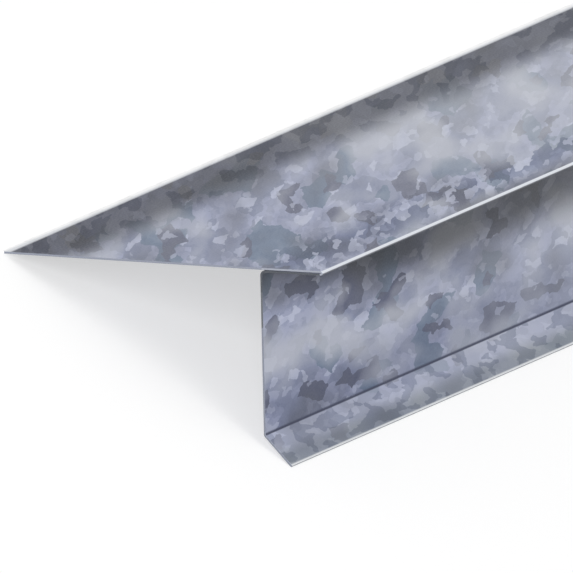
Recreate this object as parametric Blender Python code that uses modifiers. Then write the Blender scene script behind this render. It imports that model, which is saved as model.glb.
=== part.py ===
"""Drip edge flashing: one strip of galvanised sheet steel, slit to width and folded along its length.

The section is drawn as it is laid on a roof, seen on its near end, with x outward over the
eave and y up. The sheet runs from its slit rear edge along the roof flange to the nose, folds
flat back under itself, turns down as the web that covers the fascia and ends in a kick that
throws the water clear. It is all one thickness of sheet, so it is drawn as the line of its
back face, which is the face that ends up under the flange and behind the web.

The folded strip is then turned about its length until it stands as it does when nobody holds
it, on its rear edge and on the edge of its kick, with the nose up as a ridge.
"""

import math

import bmesh
import bpy
from mathutils import Matrix, Vector

# Stock, in metres
LENGTH = 3.048  # ten-foot stock
SHEET = 0.0004  # thickness of the sheet with its zinc

# Section, with the roof flange level
FLANGE_WIDTH = 0.0635  # rear edge to the tip of the nose
NOSE_OVERHANG = 0.0124  # tip of the nose past the back of the web
NOSE_RISE = math.radians(0.5)  # the double sheet of the overhang stands above the flange's line
HEM_GAP = 0.0001  # air left between the two layers of the pressed hem
WEB_HEIGHT = 0.0311  # underside of the flange to the corner of the kick, along the web's back
WEB_LEAN = math.radians(1.4)  # the foot of the web stands out by this, from springback
KICK_WIDTH = 0.0077  # corner of the kick to its slit edge
KICK_ANGLE = math.radians(44)  # kick from plumb
INSIDE_RADIUS = 0.0005  # inside of the bends at the head and the foot of the web
FACET_TURN = math.radians(6)  # turn of one facet along a round bend

# Look of the sheet
ZINC_COLOUR = (0.33, 0.36, 0.43, 1.0)
ZINC_ROUGHNESS = 0.42


def outward(angle):
    """Unit vector in the section, at this angle above the line of the roof flange."""
    return Vector((math.cos(angle), math.sin(angle)))


def downward(angle):
    """Unit vector in the section, at this angle out from plumb."""
    return Vector((math.sin(angle), -math.cos(angle)))


def back_face_corners():
    """Sharp corners of the sheet's back face, each with the radius that rounds it there."""
    fold_radius = HEM_GAP / 2
    bend_radius = INSIDE_RADIUS + SHEET
    hem_root = Vector((FLANGE_WIDTH - NOSE_OVERHANG, -SHEET))
    upper_fold = hem_root + (NOSE_OVERHANG - SHEET) * outward(NOSE_RISE)
    lower_fold = upper_fold + HEM_GAP * downward(NOSE_RISE)
    web = downward(WEB_LEAN)
    web_head = hem_root + HEM_GAP / math.cos(WEB_LEAN - NOSE_RISE) * web
    web_foot = hem_root + WEB_HEIGHT * web
    return [
        (Vector((0, -SHEET)), 0),
        (hem_root, 0),
        (upper_fold, fold_radius),
        (lower_fold, fold_radius),
        (web_head, bend_radius),
        (web_foot, bend_radius),
        (web_foot + KICK_WIDTH * downward(KICK_ANGLE), 0),
    ]


def bend(before, corner, after, radius):
    """Points of the arc that rounds a corner, from the end of one straight to the start of the next."""
    arriving = (corner - before).normalized()
    leaving = (after - corner).normalized()
    turn = -arriving.angle_signed(leaving)  # anticlockwise
    start = corner - radius * math.tan(abs(turn) / 2) * arriving
    spoke = -math.copysign(radius, turn) * arriving.orthogonal()
    facets = math.ceil(abs(turn) / FACET_TURN)
    return [start - spoke + Matrix.Rotation(turn * i / facets, 2) @ spoke for i in range(facets + 1)]


def back_face_line():
    """The back face across the strip, from the rear edge to the kick's edge, with round bends."""
    corners = back_face_corners()
    line = []
    for i, (corner, radius) in enumerate(corners):
        if radius:
            line += bend(corners[i - 1][0], corner, corners[i + 1][0], radius)
        else:
            line.append(corner)
    return line


def rest_turn():
    """How far the section turns, nose up, for the rear edge and the kick's edge to stand level."""
    corners = back_face_corners()
    across = corners[-1][0] - corners[0][0]
    return math.atan2(-across.y, across.x)


def galvanised_steel():
    material = bpy.data.materials.new("galvanised_steel")
    material.use_nodes = True
    shader = material.node_tree.nodes["Principled BSDF"]
    shader.inputs["Base Color"].default_value = ZINC_COLOUR
    shader.inputs["Metallic"].default_value = 1.0
    shader.inputs["Roughness"].default_value = ZINC_ROUGHNESS
    return material


def folded_sheet(name):
    """The back face swept along the stock, thickened to the sheet on its other side."""
    bm = bmesh.new()
    near = [bm.verts.new((p.x, -LENGTH / 2, p.y)) for p in back_face_line()]
    for pair in zip(near, near[1:]):
        bm.edges.new(pair)
    # The fold is two quarter bends that meet in one point.
    bmesh.ops.remove_doubles(bm, verts=bm.verts, dist=HEM_GAP / 1000)
    swept = bmesh.ops.extrude_edge_only(bm, edges=bm.edges)
    far = [v for v in swept["geom"] if isinstance(v, bmesh.types.BMVert)]
    bmesh.ops.translate(bm, verts=far, vec=(0, LENGTH, 0))
    mesh = bpy.data.meshes.new(name)
    bm.to_mesh(mesh)
    bm.free()
    mesh.materials.append(galvanised_steel())
    mesh.shade_smooth()

    sheet = bpy.data.objects.new(name, mesh)
    thickness = sheet.modifiers.new("Sheet", "SOLIDIFY")
    thickness.thickness = SHEET
    thickness.offset = -1.0
    thickness.use_even_offset = True
    shading = sheet.modifiers.new("Flat faces, round bends", "WEIGHTED_NORMAL")
    shading.weight = 100
    return sheet


def stand_on_floor(sheet):
    """Turns the strip to rest, its lowest edges on z = 0 and its middle over the origin."""
    sheet.rotation_euler.y = -rest_turn()
    bpy.context.view_layer.update()
    solid = sheet.evaluated_get(bpy.context.evaluated_depsgraph_get())
    corners = [sheet.matrix_world @ v.co for v in solid.to_mesh().vertices]
    solid.to_mesh_clear()
    across = [c.x for c in corners]
    sheet.location.x = -(min(across) + max(across)) / 2
    sheet.location.z = -min(c.z for c in corners)


for leftover in list(bpy.data.objects):
    bpy.data.objects.remove(leftover)

flashing = bpy.data.collections.new("drip_edge_flashing")
bpy.context.scene.collection.children.link(flashing)

strip = folded_sheet("drip_edge")
flashing.objects.link(strip)
stand_on_floor(strip)
bpy.context.view_layer.update()
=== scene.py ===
"""Looks of the drip edge flashing: a strip of galvanised sheet steel, folded along its length.

The strip rests as the CAD model does, on its rear edge and on the edge of its kick, and is seen
by its near end. It runs away from the viewer to the far end, three metres off.
"""

import math

import bpy
from mathutils import Matrix, Vector


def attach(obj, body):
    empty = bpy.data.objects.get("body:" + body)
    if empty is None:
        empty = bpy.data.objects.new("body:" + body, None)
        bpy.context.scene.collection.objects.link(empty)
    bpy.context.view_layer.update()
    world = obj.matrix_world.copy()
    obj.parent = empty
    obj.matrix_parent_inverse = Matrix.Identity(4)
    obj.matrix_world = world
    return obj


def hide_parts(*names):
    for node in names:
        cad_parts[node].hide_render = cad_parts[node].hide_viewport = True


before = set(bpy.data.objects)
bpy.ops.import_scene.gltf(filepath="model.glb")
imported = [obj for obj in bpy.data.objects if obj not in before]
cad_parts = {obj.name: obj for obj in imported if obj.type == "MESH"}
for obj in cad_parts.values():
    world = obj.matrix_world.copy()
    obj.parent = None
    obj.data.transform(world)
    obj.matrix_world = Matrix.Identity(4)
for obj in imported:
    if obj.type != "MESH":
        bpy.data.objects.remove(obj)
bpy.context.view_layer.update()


# ---------------------------------------------------------------------------
# The folded strip. Light sheet steel, galvanised in the coil, slit to width and run through
# folding rolls: roof flange, nose pressed flat back under itself, web, and a kicked-out edge.
# It is one thickness of sheet, so its back face is drawn as a line and swept along the stock.

LENGTH = 3.048
SHEET = 0.0004
FLANGE_WIDTH = 0.0635
NOSE_OVERHANG = 0.0124
NOSE_RISE = math.radians(0.5)
HEM_GAP = 0.0001
WEB_HEIGHT = 0.0311
WEB_LEAN = math.radians(1.4)
KICK_WIDTH = 0.0077
KICK_ANGLE = math.radians(44)
BEND_RADIUS = 0.0009  # on the back of the sheet
EDGE_SOFTENING = 0.00004  # the knives leave no sharp corner on the zinc


def section_corners():
    """Corners of the back face with the roof flange level, each with the radius of its bend."""
    rise = Vector((math.cos(NOSE_RISE), math.sin(NOSE_RISE)))
    web = Vector((math.sin(WEB_LEAN), -math.cos(WEB_LEAN)))
    kick = Vector((math.sin(KICK_ANGLE), -math.cos(KICK_ANGLE)))
    hem_root = Vector((FLANGE_WIDTH - NOSE_OVERHANG, -SHEET))
    upper_fold = hem_root + (NOSE_OVERHANG - SHEET) * rise
    lower_fold = upper_fold + HEM_GAP * Vector((rise.y, -rise.x))
    web_head = hem_root + HEM_GAP / math.cos(WEB_LEAN - NOSE_RISE) * web
    web_foot = hem_root + WEB_HEIGHT * web
    return [
        (Vector((0, -SHEET)), 0),
        (hem_root, 0),
        (upper_fold, HEM_GAP / 2),
        (lower_fold, HEM_GAP / 2),
        (web_head, BEND_RADIUS),
        (web_foot, BEND_RADIUS),
        (web_foot + KICK_WIDTH * kick, 0),
    ]


def places_on_flat_sheet(corners):
    """How far each corner lies from the rear edge, across the sheet before it is folded."""
    places, gone, cut = [0.0], 0.0, 0.0
    for (before, _), (here, radius), (after, _) in zip(corners, corners[1:], corners[2:]):
        turn = (here - before).angle(after - here)
        cut_here = radius * math.tan(turn / 2)
        gone += (here - before).length - cut - cut_here
        places.append(gone + radius * turn / 2)
        gone += radius * turn
        cut = cut_here
    return places + [gone + (corners[-1][0] - corners[-2][0]).length - cut]


def folding_tree():
    """Rounds a section's corners, sweeps it along the stock and keeps the flat sheet as UV."""
    tree = bpy.data.node_groups.new("Fold and sweep a strip", "GeometryNodeTree")
    for name, way, kind in (
        ("Geometry", "INPUT", "NodeSocketGeometry"),
        ("Length", "INPUT", "NodeSocketFloat"),
        ("Facets in a bend", "INPUT", "NodeSocketInt"),
        ("Joining distance", "INPUT", "NodeSocketFloat"),
        ("Finish", "INPUT", "NodeSocketMaterial"),
        ("Geometry", "OUTPUT", "NodeSocketGeometry"),
    ):
        tree.interface.new_socket(name, in_out=way, socket_type=kind)
    new, link = tree.nodes.new, tree.links.new
    given = new("NodeGroupInput")

    section = new("GeometryNodeMeshToCurve")
    link(given.outputs["Geometry"], section.inputs["Mesh"])
    radius = new("GeometryNodeInputNamedAttribute")
    radius.data_type = "FLOAT"
    radius.inputs["Name"].default_value = "bend_radius"
    bends = new("GeometryNodeFilletCurve")
    bends.mode = "POLY"
    link(section.outputs["Curve"], bends.inputs["Curve"])
    link(given.outputs["Facets in a bend"], bends.inputs["Count"])
    link(radius.outputs["Attribute"], bends.inputs["Radius"])
    so_far = new("GeometryNodeSplineParameter")
    across = new("GeometryNodeCaptureAttribute")
    across.capture_items.new("FLOAT", "Across")
    link(bends.outputs["Curve"], across.inputs["Geometry"])
    link(so_far.outputs["Length"], across.inputs["Across"])

    # The stock lies half before and half behind the section.
    ends = []
    for share in (0.5, -0.5):
        half = new("ShaderNodeMath")
        half.operation = "MULTIPLY"
        half.inputs[1].default_value = share
        link(given.outputs["Length"], half.inputs[0])
        end = new("ShaderNodeCombineXYZ")
        link(half.outputs[0], end.inputs["X"])
        ends.append((half, end))
    stock = new("GeometryNodeCurvePrimitiveLine")
    link(ends[0][1].outputs[0], stock.inputs["Start"])
    link(ends[1][1].outputs[0], stock.inputs["End"])
    swept = new("GeometryNodeCurveToMesh")
    link(across.outputs["Geometry"], swept.inputs["Curve"])
    link(stock.outputs["Curve"], swept.inputs["Profile Curve"])
    joined = new("GeometryNodeMergeByDistance")
    link(swept.outputs["Mesh"], joined.inputs["Geometry"])
    link(given.outputs["Joining distance"], joined.inputs["Distance"])

    # The flat sheet in metres: u across it from the rear edge, v along it from the near end.
    place = new("GeometryNodeInputPosition")
    parts = new("ShaderNodeSeparateXYZ")
    link(place.outputs[0], parts.inputs[0])
    along = new("ShaderNodeMath")
    link(parts.outputs["Y"], along.inputs[0])
    link(ends[0][0].outputs[0], along.inputs[1])
    flat = new("ShaderNodeCombineXYZ")
    link(across.outputs["Across"], flat.inputs["X"])
    link(along.outputs[0], flat.inputs["Y"])
    mapped = new("GeometryNodeStoreNamedAttribute")
    mapped.data_type = "FLOAT2"
    mapped.domain = "CORNER"
    mapped.inputs["Name"].default_value = "UVMap"
    link(joined.outputs["Geometry"], mapped.inputs["Geometry"])
    link(flat.outputs[0], mapped.inputs["Value"])

    real = new("GeometryNodeRealizeInstances")
    link(mapped.outputs["Geometry"], real.inputs["Geometry"])
    finished = new("GeometryNodeSetMaterial")
    link(real.outputs["Geometry"], finished.inputs["Geometry"])
    link(given.outputs["Finish"], finished.inputs["Material"])
    out = new("NodeGroupOutput")
    link(finished.outputs["Geometry"], out.inputs["Geometry"])
    return tree


def spangle_group():
    """Crystals of one tone lie together in patches with crisp, angular outlines."""
    group = bpy.data.node_groups.new("Spangle patches", "ShaderNodeTree")
    for name, kind, value in (
        ("Sheet", "NodeSocketVector", None),
        ("Crystal", "NodeSocketFloat", 1.5),
        ("Patch", "NodeSocketFloat", 6.0),
        ("Share", "NodeSocketFloat", 0.5),
        ("Shift", "NodeSocketFloat", 0.0),
    ):
        socket = group.interface.new_socket(name, in_out="INPUT", socket_type=kind)
        if value is not None:
            socket.default_value = value
    group.interface.new_socket("Mask", in_out="OUTPUT", socket_type="NodeSocketFloat")
    new, link = group.nodes.new, group.links.new
    given, made = new("NodeGroupInput"), new("NodeGroupOutput")

    shift = new("ShaderNodeCombineXYZ")
    link(given.outputs["Shift"], shift.inputs["X"])
    link(given.outputs["Shift"], shift.inputs["Y"])
    moved = new("ShaderNodeVectorMath")
    link(given.outputs["Sheet"], moved.inputs[0])
    link(shift.outputs[0], moved.inputs[1])
    # The outlines wander between the crystals, in broad curves with a little raggedness.
    warped = moved.outputs[0]
    for waves_per_millimetre, reach in ((0.3, 2.2), (1.4, 0.5)):
        wander = new("ShaderNodeTexNoise")
        wander.noise_dimensions = "2D"
        wander.inputs["Scale"].default_value = waves_per_millimetre
        wander.inputs["Detail"].default_value = 1.0
        link(moved.outputs[0], wander.inputs["Vector"])
        centred = new("ShaderNodeVectorMath")
        centred.operation = "SUBTRACT"
        centred.inputs[1].default_value = (0.5, 0.5, 0.5)
        link(wander.outputs["Color"], centred.inputs[0])
        pushed = new("ShaderNodeVectorMath")
        pushed.operation = "MULTIPLY_ADD"
        pushed.inputs[1].default_value = (reach, reach, 0.0)
        link(centred.outputs[0], pushed.inputs[0])
        link(warped, pushed.inputs[2])
        warped = pushed.outputs[0]
    per_crystal, per_patch = new("ShaderNodeMath"), new("ShaderNodeMath")
    for inverse, size in ((per_crystal, "Crystal"), (per_patch, "Patch")):
        inverse.operation = "DIVIDE"
        inverse.inputs[0].default_value = 1.0
        link(given.outputs[size], inverse.inputs[1])
    crystals = new("ShaderNodeTexVoronoi")
    crystals.voronoi_dimensions = "2D"
    link(warped, crystals.inputs["Vector"])
    link(per_crystal.outputs[0], crystals.inputs["Scale"])
    tone = new("ShaderNodeTexNoise")
    tone.noise_dimensions = "2D"
    tone.inputs["Detail"].default_value = 1.0
    link(crystals.outputs["Position"], tone.inputs["Vector"])
    link(per_patch.outputs[0], tone.inputs["Scale"])
    # Share 0 marks no crystal and share 1 nearly all of them.
    least = new("ShaderNodeMapRange")
    least.inputs["To Min"].default_value = 0.78
    least.inputs["To Max"].default_value = 0.22
    link(given.outputs["Share"], least.inputs["Value"])
    mask = new("ShaderNodeMath")
    mask.operation = "GREATER_THAN"
    link(tone.outputs["Fac"], mask.inputs[0])
    link(least.outputs["Result"], mask.inputs[1])
    link(mask.outputs[0], made.inputs["Mask"])
    return group


def band_group():
    """A band that runs the length of the sheet: 1 inside it, 0 outside, with soft edges."""
    group = bpy.data.node_groups.new("Band along the sheet", "ShaderNodeTree")
    for name in ("Across", "Middle", "Half width", "Softness"):
        group.interface.new_socket(name, in_out="INPUT", socket_type="NodeSocketFloat")
    group.interface.new_socket("Mask", in_out="OUTPUT", socket_type="NodeSocketFloat")
    new, link = group.nodes.new, group.links.new
    given, made = new("NodeGroupInput"), new("NodeGroupOutput")

    def of_two(way, first, second):
        reckoned = new("ShaderNodeMath")
        reckoned.operation = way
        link(given.outputs[first], reckoned.inputs[0])
        link(given.outputs[second], reckoned.inputs[1])
        return reckoned.outputs[0]

    away = new("ShaderNodeMath")
    away.operation = "ABSOLUTE"
    link(of_two("SUBTRACT", "Across", "Middle"), away.inputs[0])
    fall = new("ShaderNodeMapRange")
    fall.interpolation_type = "SMOOTHSTEP"
    fall.inputs["To Min"].default_value = 1.0
    fall.inputs["To Max"].default_value = 0.0
    link(away.outputs[0], fall.inputs["Value"])
    link(of_two("SUBTRACT", "Half width", "Softness"), fall.inputs["From Min"])
    link(of_two("ADD", "Half width", "Softness"), fall.inputs["From Max"])
    link(fall.outputs["Result"], made.inputs["Mask"])
    return group


def galvanised_sheet(corner_places):
    """Bare zinc with a large spangle, seen in millimetres across and along the flat sheet."""
    rear_edge, _, nose_over, nose_under, web_head, web_foot, kick_edge = corner_places
    material = bpy.data.materials.new("galvanised_sheet")
    material.use_nodes = True
    nodes, link = material.node_tree.nodes, material.node_tree.links.new
    new = nodes.new
    shader = nodes["Principled BSDF"]
    patches, band = spangle_group(), band_group()

    def reckon(way, *values):
        """A sum on numbers and on the outputs of other nodes."""
        made = new("ShaderNodeMath")
        made.operation = way
        for socket, value in zip(made.inputs, values):
            if isinstance(value, (int, float)):
                socket.default_value = value
            else:
                link(value, socket)
        return made.outputs[0]

    flat = new("ShaderNodeUVMap")
    flat.uv_map = "UVMap"
    sheet = new("ShaderNodeVectorMath")
    sheet.operation = "SCALE"
    sheet.inputs["Scale"].default_value = 1000.0
    link(flat.outputs["UV"], sheet.inputs[0])
    split = new("ShaderNodeSeparateXYZ")
    link(sheet.outputs[0], split.inputs[0])
    across, along = split.outputs["X"], split.outputs["Y"]

    def down_the_strip(start, end, near, far, course="SMOOTHSTEP"):
        """Goes from its near value to its far one between two places along the strip."""
        made = new("ShaderNodeMapRange")
        made.interpolation_type = course
        made.inputs["From Min"].default_value = start
        made.inputs["From Max"].default_value = end
        made.inputs["To Min"].default_value = near
        made.inputs["To Max"].default_value = far
        link(along, made.inputs["Value"])
        return made.outputs["Result"]

    # The crystals froze while the strip ran, so they lie drawn out along it. Over the first
    # third of a metre they are drawn out most, in the flange above all, and there on a slant.
    most_drawn_to, run_out, further_on = 330.0, 130.0, 1.5
    eased = reckon("SMOOTH_MAX", reckon("SUBTRACT", along, most_drawn_to), 0.0, run_out)
    strained = reckon("SUBTRACT", along, eased)

    def drawn_out(times, slant):
        """Where a crystal lay on the sheet before it was drawn out."""
        made = new("ShaderNodeCombineXYZ")
        link(reckon("MULTIPLY_ADD", strained, slant, across), made.inputs["X"])
        past = reckon("DIVIDE", eased, further_on)
        link(reckon("MULTIPLY_ADD", strained, 1 / times, past), made.inputs["Y"])
        return made.outputs[0]

    on_flange = reckon("LESS_THAN", across, (nose_over + nose_under) / 2)
    lie = new("ShaderNodeMix")
    lie.data_type = "VECTOR"
    link(on_flange, lie.inputs["Factor"])
    link(drawn_out(times=2.6, slant=0.0), lie.inputs["A"])
    link(drawn_out(times=4.8, slant=0.33), lie.inputs["B"])

    def spangle(crystal, patch, share, shift):
        """Marks a share of the crystals, in patches. Each shift gives other patches."""
        made = new("ShaderNodeGroup")
        made.node_tree = patches
        link(lie.outputs["Result"], made.inputs["Sheet"])
        made.inputs["Crystal"].default_value = crystal
        made.inputs["Patch"].default_value = patch
        made.inputs["Share"].default_value = share
        made.inputs["Shift"].default_value = shift
        return made.outputs["Mask"]

    def band_at(middle, half_width, softness):
        """Marks a band that runs the length of the sheet."""
        made = new("ShaderNodeGroup")
        made.node_tree = band
        link(across, made.inputs["Across"])
        made.inputs["Middle"].default_value = middle
        if isinstance(half_width, float):
            made.inputs["Half width"].default_value = half_width
        else:
            link(half_width, made.inputs["Half width"])
        made.inputs["Softness"].default_value = softness
        return made.outputs["Mask"]

    def over(below, mask, colour, strength=1.0, way="MIX"):
        """Lays a colour over what is below, or darkens it, where the mask is 1."""
        mix = new("ShaderNodeMix")
        mix.data_type = "RGBA"
        mix.blend_type = way
        link(mask if strength == 1.0 else reckon("MULTIPLY", mask, strength), mix.inputs["Factor"])
        if isinstance(below, tuple):
            mix.inputs["A"].default_value = (*below, 1.0)
        else:
            link(below, mix.inputs["A"])
        mix.inputs["B"].default_value = (*colour, 1.0)
        return mix.outputs["Result"]

    # Tones of the zinc, each with crystals of its own.
    lavender, mauve, slate = (0.364, 0.392, 0.534), (0.314, 0.342, 0.472), (0.264, 0.293, 0.412)
    pale, teal, dark = (0.520, 0.550, 0.690), (0.165, 0.220, 0.315), (0.103, 0.116, 0.190)
    darks = spangle(crystal=2.2, patch=7.0, share=0.26, shift=307.6)
    dimmed = spangle(crystal=0.7, patch=1.8, share=0.40, shift=33.0)
    colour = over(lavender, spangle(crystal=1.1, patch=3.0, share=0.48, shift=221.4), mauve)
    colour = over(colour, spangle(crystal=2.2, patch=7.0, share=0.42, shift=26.9), slate)
    colour = over(colour, spangle(crystal=1.4, patch=4.0, share=0.24, shift=109.2), pale, 0.8)
    colour = over(colour, spangle(crystal=2.8, patch=9.0, share=0.27, shift=34.6), teal, 0.95)
    colour = over(colour, darks, dark, 0.95)
    colour = over(colour, dimmed, (0.91, 0.92, 0.94), way="MULTIPLY")
    colour = over(colour, spangle(crystal=0.8, patch=2.4, share=0.13, shift=77.0), pale, 0.5)

    # Clouds of painted sheen and painted shade, and some uneven tone of the zinc, lie over the
    # crystals.
    cloud_breadth = 13.0
    place_on_web, place_on_flange = (329.6, 321.4, 0.0), (249.8, 40.5, 0.0)
    sheen_and_shade_cloud = new("ShaderNodeTexNoise")
    sheen_and_shade_cloud.noise_dimensions = "2D"
    sheen_and_shade_cloud.inputs["Scale"].default_value = 1 / cloud_breadth
    sheen_and_shade_cloud.inputs["Detail"].default_value = 2.5
    drift = new("ShaderNodeMix")
    drift.data_type = "VECTOR"
    drift.inputs["A"].default_value = place_on_web
    drift.inputs["B"].default_value = place_on_flange
    link(on_flange, drift.inputs["Factor"])
    drifted = new("ShaderNodeVectorMath")
    link(lie.outputs["Result"], drifted.inputs[0])
    link(drift.outputs["Result"], drifted.inputs[1])
    link(drifted.outputs[0], sheen_and_shade_cloud.inputs["Vector"])
    for clear, full, tone, strength in (
        (0.47, 0.66, (0.50, 0.52, 0.585), 0.74),
        (0.48, 0.28, (0.12, 0.13, 0.165), 0.6),
    ):
        cover = new("ShaderNodeMapRange")
        cover.inputs["From Min"].default_value = clear
        cover.inputs["From Max"].default_value = full
        link(sheen_and_shade_cloud.outputs["Fac"], cover.inputs["Value"])
        colour = over(colour, cover.outputs["Result"], tone, strength)

    # Painted light: the zinc is painted paler away from the near end, as though more light fell
    # further along.
    painted_light_far_on = down_the_strip(55.0, 190.0, near=0.0, far=1.0)
    colour = over(colour, painted_light_far_on, (0.66, 0.68, 0.73), 0.32)

    # Beside the nose, where the rolls worked the sheet hardest, the crystals stand out most, and
    # towards the near end above all.
    beside_nose = band_at(nose_over - 7.5, half_width=5.5, softness=5.0)
    worked = reckon("MULTIPLY", beside_nose, down_the_strip(120.0, 300.0, near=1.0, far=0.3))
    shades = spangle(crystal=1.9, patch=6.0, share=0.55, shift=141.3)
    flecks = spangle(crystal=0.9, patch=2.6, share=0.32, shift=58.0)
    colour = over(colour, worked, (0.97, 0.98, 1.0), way="MULTIPLY")
    colour = over(colour, reckon("MULTIPLY", worked, shades), (0.45, 0.49, 0.58), way="MULTIPLY")
    colour = over(colour, reckon("MULTIPLY", worked, flecks), pale, 0.6)

    # Painted shade darkens the rear of the flange, which is also blotched, and a painted shadow of
    # the nose darkens the head of the web, over more of its height the further it is from the open
    # end.
    rear = band_at(rear_edge, half_width=15.0, softness=6.0)
    blotches = spangle(crystal=1.5, patch=5.0, share=0.45, shift=161.6)
    blotched = reckon("MULTIPLY", rear, blotches)
    colour = over(colour, rear, (0.20, 0.208, 0.235), way="MULTIPLY")
    colour = over(colour, blotched, (0.70, 0.72, 0.76), way="MULTIPLY")
    # The painted shadow reaches further down the web away from the open end.
    reach = down_the_strip(0.0, 80.0, near=3.5, far=12.5, course="LINEAR")
    painted_nose_shadow = band_at(web_head, half_width=reach, softness=4.5)
    colour = over(colour, painted_nose_shadow, (0.30, 0.30, 0.29), way="MULTIPLY")

    # Painted shade darkens the foot of the web. The kick is painted paler, as painted light, and
    # mottled.
    web = band_at(web_head, half_width=web_foot - web_head, softness=0.2)
    painted_foot_shade = reckon("MULTIPLY", band_at(web_foot, half_width=8.5, softness=4.0), web)
    colour = over(colour, painted_foot_shade, (0.72, 0.735, 0.785), way="MULTIPLY")
    kick = band_at(kick_edge, half_width=kick_edge - web_foot, softness=0.2)
    mottles = spangle(crystal=1.1, patch=3.2, share=0.42, shift=31.0)
    # Painted light: a paler tone over the whole kick.
    colour = over(colour, kick, (0.57, 0.60, 0.73), 0.43)
    colour = over(colour, reckon("MULTIPLY", kick, mottles), (0.70, 0.72, 0.76), way="MULTIPLY")

    # Painted shade darkens the underside of the nose and the low side of the kick, and painted
    # shade with a little dust darkens the bend at the foot of the web. A painted highlight lies
    # along the top of the nose.
    shaded_nose_underside = band_at(nose_under + 0.005, half_width=0.045, softness=0.012)
    bend_shade_and_grime = band_at(web_foot - 0.2, half_width=0.35, softness=0.22)
    shaded_low_side = band_at(kick_edge, half_width=3.4, softness=1.8)
    painted_nose_highlight = band_at(nose_over + 0.014, half_width=0.031, softness=0.014)
    colour = over(colour, shaded_nose_underside, (0.09, 0.095, 0.115), 0.9)
    colour = over(colour, bend_shade_and_grime, (0.04, 0.047, 0.09), 0.94)
    colour = over(colour, shaded_low_side, (0.63, 0.65, 0.62), way="MULTIPLY")
    colour = over(colour, painted_nose_highlight, (0.77, 0.80, 0.85))

    # A painted highlight lies along both slit edges, the rear one in a broad margin over the first
    # third of a metre, with a brim that is brighter still and widens away from the near end.
    rear_edge_highlight = band_at(rear_edge, half_width=1.85, softness=0.45)
    wider = down_the_strip(0.0, 45.0, near=0.6, far=1.05, course="LINEAR")
    brightest_edge_highlight = band_at(rear_edge, half_width=wider, softness=0.55)
    fading = down_the_strip(300.0, 450.0, near=1.0, far=0.0)
    kick_edge_highlight = band_at(kick_edge, half_width=0.38, softness=0.15)
    colour = over(colour, reckon("MULTIPLY", rear_edge_highlight, fading), (0.69, 0.71, 0.745))
    colour = over(colour, reckon("MULTIPLY", brightest_edge_highlight, fading), (0.96, 0.962, 0.965))
    colour = over(colour, kick_edge_highlight, (0.77, 0.79, 0.81))
    link(colour, shader.inputs["Base Color"])

    # The rear of the flange shines most, but its blotches don't shine.
    plain_shine, more_at_rear = 0.55, 0.15
    shine = reckon("MULTIPLY_ADD", rear, more_at_rear, plain_shine)
    link(reckon("MULTIPLY_ADD", blotched, -plain_shine, shine), shader.inputs["Metallic"])
    shader.inputs["Specular IOR Level"].default_value = 0.05

    # All crystals have a fine grain, and the dark ones are a little smoother than the others.
    smoothest, grain_share, smoother = 0.33, 0.3, -0.05
    grain = new("ShaderNodeTexNoise")
    grain.noise_dimensions = "2D"
    grain.inputs["Scale"].default_value = 2.5
    grain.inputs["Detail"].default_value = 4.0
    link(sheet.outputs[0], grain.inputs["Vector"])
    rough = reckon("MULTIPLY_ADD", grain.outputs["Fac"], grain_share, smoothest)
    link(reckon("MULTIPLY_ADD", darks, smoother, rough), shader.inputs["Roughness"])
    relief = new("ShaderNodeBump")
    relief.inputs["Strength"].default_value = 0.25
    relief.inputs["Distance"].default_value = 0.00005
    link(grain.outputs["Fac"], relief.inputs["Height"])
    link(relief.outputs["Normal"], shader.inputs["Normal"])
    return material


def cut_edge(corner_places):
    """The thickness of the sheet, laid bare where it was slit to width and cut to length."""
    _, hem_root, nose_over, nose_under, web_head, _, kick_edge = corner_places
    material = bpy.data.materials.new("cut_edge")
    material.use_nodes = True
    nodes, link = material.node_tree.nodes, material.node_tree.links.new
    shader = nodes["Principled BSDF"]
    # A painted highlight lies along both long slit edges. The two cut ends are painted lighter
    # over the hem and darker in painted shade under the nose and down the web, deepest at the head
    # of the web.
    highlighted_slit_edge = (0.85, 0.86, 0.87, 1.0)
    light, grey = (0.25, 0.265, 0.31, 1.0), (0.20, 0.215, 0.26, 1.0)
    half_end_shade, deep_end_shade = (0.168, 0.181, 0.222, 1.0), (0.098, 0.104, 0.118, 1.0)
    # The deepest painted shade on the cut ends, under the nose and at the head of the web.
    bare = (0.062, 0.067, 0.078, 1.0)
    slit_highlight_width = 0.1
    flat = nodes.new("ShaderNodeUVMap")
    flat.uv_map = "UVMap"
    split = nodes.new("ShaderNodeSeparateXYZ")
    link(flat.outputs["UV"], split.inputs[0])
    share = nodes.new("ShaderNodeMath")
    share.operation = "DIVIDE"
    share.inputs[1].default_value = kick_edge / 1000
    link(split.outputs["X"], share.inputs[0])
    zones = nodes.new("ShaderNodeValToRGB")
    ramp = zones.color_ramp
    ramp.interpolation = "CONSTANT"
    ramp.elements.remove(ramp.elements[1])
    ramp.elements[0].color = highlighted_slit_edge
    for place, tone in (
        (slit_highlight_width, grey),
        (hem_root, light),
        ((nose_over + nose_under) / 2, bare),
        (web_head + 3.5, deep_end_shade),
        (web_head + 10.5, half_end_shade),
        (kick_edge - slit_highlight_width, highlighted_slit_edge),
    ):
        ramp.elements.new(place / kick_edge).color = tone
    link(share.outputs[0], zones.inputs["Fac"])
    link(zones.outputs["Color"], shader.inputs["Base Color"])
    shader.inputs["Metallic"].default_value = 0.6
    shader.inputs["Roughness"].default_value = 0.5
    return material


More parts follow.
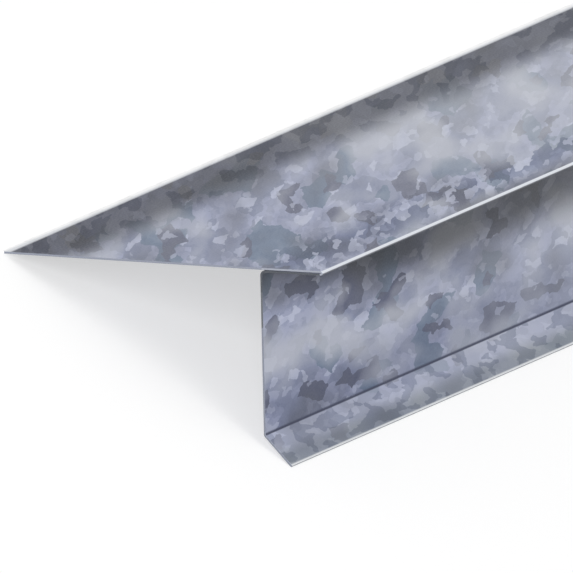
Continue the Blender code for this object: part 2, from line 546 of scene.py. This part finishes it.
# The section is turned until its rear edge and the edge of its kick are level.
corners = section_corners()
corner_places = [1000 * place for place in places_on_flat_sheet(corners)]
from_edge_to_edge = corners[-1][0] - corners[0][0]
rest = Matrix.Rotation(math.atan2(-from_edge_to_edge.y, from_edge_to_edge.x), 2)
turned = [rest @ corner for corner, _ in corners]
steps = [(i, i + 1) for i in range(len(turned) - 1)]
drawing = bpy.data.meshes.new("back_face_line")
drawing.from_pydata([(p.x, 0, p.y) for p in turned], steps, [])
radii = drawing.attributes.new("bend_radius", "FLOAT", "POINT")
radii.data.foreach_set("value", [radius for _, radius in corners])
strip = bpy.data.objects.new("folded_strip", drawing)
bpy.context.scene.collection.objects.link(strip)

zinc, steel_edge = galvanised_sheet(corner_places), cut_edge(corner_places)
folding = strip.modifiers.new("Fold and sweep", "NODES")
folding.node_group = folding_tree()
wanted = {
    "Length": LENGTH,
    "Facets in a bend": 12,
    "Joining distance": HEM_GAP / 1000,
    "Finish": zinc,
}
for socket in folding.node_group.interface.items_tree:
    if socket.in_out == "INPUT" and socket.name in wanted:
        folding[socket.identifier] = wanted[socket.name]
thickness = strip.modifiers.new("Sheet", "SOLIDIFY")
thickness.thickness = SHEET
thickness.offset = -1.0
thickness.use_even_offset = True
softened = strip.modifiers.new("Softened edges", "BEVEL")
softened.width = EDGE_SOFTENING
softened.segments = 2
softened.limit_method = "ANGLE"
softened.angle_limit = math.radians(60)
softened.use_clamp_overlap = False
shading = strip.modifiers.new("Flat faces, round bends", "WEIGHTED_NORMAL")
shading.weight = 100

bpy.context.view_layer.update()
folded = strip.evaluated_get(bpy.context.evaluated_depsgraph_get())
sheet_mesh = bpy.data.meshes.new_from_object(folded)
strip.modifiers.clear()
strip.data = sheet_mesh
sheet_mesh.name = "folded_strip"

# It stands on the floor with its middle over the origin.
lowest = min(v.co.z for v in sheet_mesh.vertices)
left, right = (limit(v.co.x for v in sheet_mesh.vertices) for limit in (min, max))
sheet_mesh.transform(Matrix.Translation((-(left + right) / 2, 0, -lowest)))

# The faces that lie wholly on an edge of the flat sheet are its cut edges.
sheet_mesh.materials.append(steel_edge)
flat_sheet = sheet_mesh.uv_layers["UVMap"].data
flat_width = corner_places[-1] / 1000
for face in sheet_mesh.polygons:
    u, v = zip(*(flat_sheet[i].uv for i in face.loop_indices))
    if min(max(u), flat_width - min(u), max(v), LENGTH - min(v)) < EDGE_SOFTENING / 2:
        face.material_index = 1

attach(strip, "root")
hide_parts("drip_edge")


# ---------------------------------------------------------------------------
# The studio: white paper that runs out of the picture, an even white surround, a key light low
# from the viewer's side and a weaker lamp overhead.


def in_sight(tree):
    """Mask of what the lens sees, straight or mirrored in the steel."""
    ray = tree.nodes.new("ShaderNodeLightPath")
    either = tree.nodes.new("ShaderNodeMath")
    either.operation = "MAXIMUM"
    tree.links.new(ray.outputs["Is Camera Ray"], either.inputs[0])
    tree.links.new(ray.outputs["Is Glossy Ray"], either.inputs[1])
    return either.outputs[0]


REACH = 8.0  # of the paper, each way from the strip's middle
paper_corners = [(-REACH, -REACH, 0), (REACH, -REACH, 0), (REACH, REACH, 0), (-REACH, REACH, 0)]
floor_mesh = bpy.data.meshes.new("floor")
floor_mesh.from_pydata(paper_corners, [], [(0, 1, 2, 3)])
floor = bpy.data.objects.new("floor", floor_mesh)
bpy.context.scene.collection.objects.link(floor)
paper = bpy.data.materials.new("white_paper")
paper.use_nodes = True
matt = paper.node_tree.nodes["Principled BSDF"]
matt.inputs["Roughness"].default_value = 0.9
matt.inputs["Emission Color"].default_value = (1.0, 1.0, 1.0, 1.0)
# The paper looks evenly white, and lights the steel as pale paper does.
seen = in_sight(paper.node_tree)
for socket, unseen_value, seen_value in (
    ("Base Color", 0.84, 0.46),
    ("Emission Strength", 0.0, 0.55),
):
    value = paper.node_tree.nodes.new("ShaderNodeMapRange")
    value.inputs["To Min"].default_value = unseen_value
    value.inputs["To Max"].default_value = seen_value
    paper.node_tree.links.new(seen, value.inputs["Value"])
    paper.node_tree.links.new(value.outputs["Result"], matt.inputs[socket])
floor_mesh.materials.append(paper)

surround = bpy.data.worlds.new("surround")
surround.use_nodes = True
background = surround.node_tree.nodes["Background"]
background.inputs["Color"].default_value = (1.0, 1.0, 1.0, 1.0)
strength = surround.node_tree.nodes.new("ShaderNodeMapRange")
strength.inputs["To Min"].default_value = 0.5
strength.inputs["To Max"].default_value = 0.9
surround.node_tree.links.new(in_sight(surround.node_tree), strength.inputs["Value"])
surround.node_tree.links.new(strength.outputs["Result"], background.inputs["Strength"])
bpy.context.scene.world = surround

for name, toward, power, breadth in (
    ("key", (0.05, -0.94, 0.32), 3.0, 25),
    ("overhead", (0.35, -0.2, 0.9), 0.5, 40),
):
    light = bpy.data.lights.new(name, "SUN")
    light.energy = power
    light.angle = math.radians(breadth)
    lamp = bpy.data.objects.new(name, light)
    lamp.rotation_euler = Vector(toward).to_track_quat("Z", "Y").to_euler()
    bpy.context.scene.collection.objects.link(lamp)


# ---------------------------------------------------------------------------
# The camera: a parallel view of the near end, rolled until the roof flange looks level, as it
# does when the strip is on a roof.

AZIMUTH = math.radians(12.69)
ELEVATION = math.radians(19.30)
ROLL = math.radians(32.24)
PICTURE = 573  # pixels, both ways
SCALE = 5414.0  # pixels to a metre
OFF_MIDDLE = (26.4, -16.7)  # pixels right and up, from the hem's root to the picture's middle
DISTANCE = 1.5
back = Vector(
    (
        math.sin(AZIMUTH) * math.cos(ELEVATION),
        -math.cos(AZIMUTH) * math.cos(ELEVATION),
        math.sin(ELEVATION),
    )
)
level = Vector((math.cos(AZIMUTH), math.sin(AZIMUTH), 0))
rightward = math.cos(ROLL) * level + math.sin(ROLL) * back.cross(level)
upward = back.cross(rightward)
hem_root = Vector((0.0091309, -LENGTH / 2, 0.0275542))  # on the near end
aim = hem_root + (OFF_MIDDLE[0] * rightward + OFF_MIDDLE[1] * upward) / SCALE

lens = bpy.data.cameras.new("camera")
lens.type = "ORTHO"
lens.ortho_scale = PICTURE / SCALE
lens.clip_end = 20
camera = bpy.data.objects.new("camera", lens)
axes = Matrix((rightward, upward, back)).transposed().to_4x4()
camera.matrix_world = Matrix.Translation(aim + DISTANCE * back) @ axes
bpy.context.scene.collection.objects.link(camera)
bpy.context.scene.camera = camera
bpy.context.scene.view_settings.view_transform = "Standard"
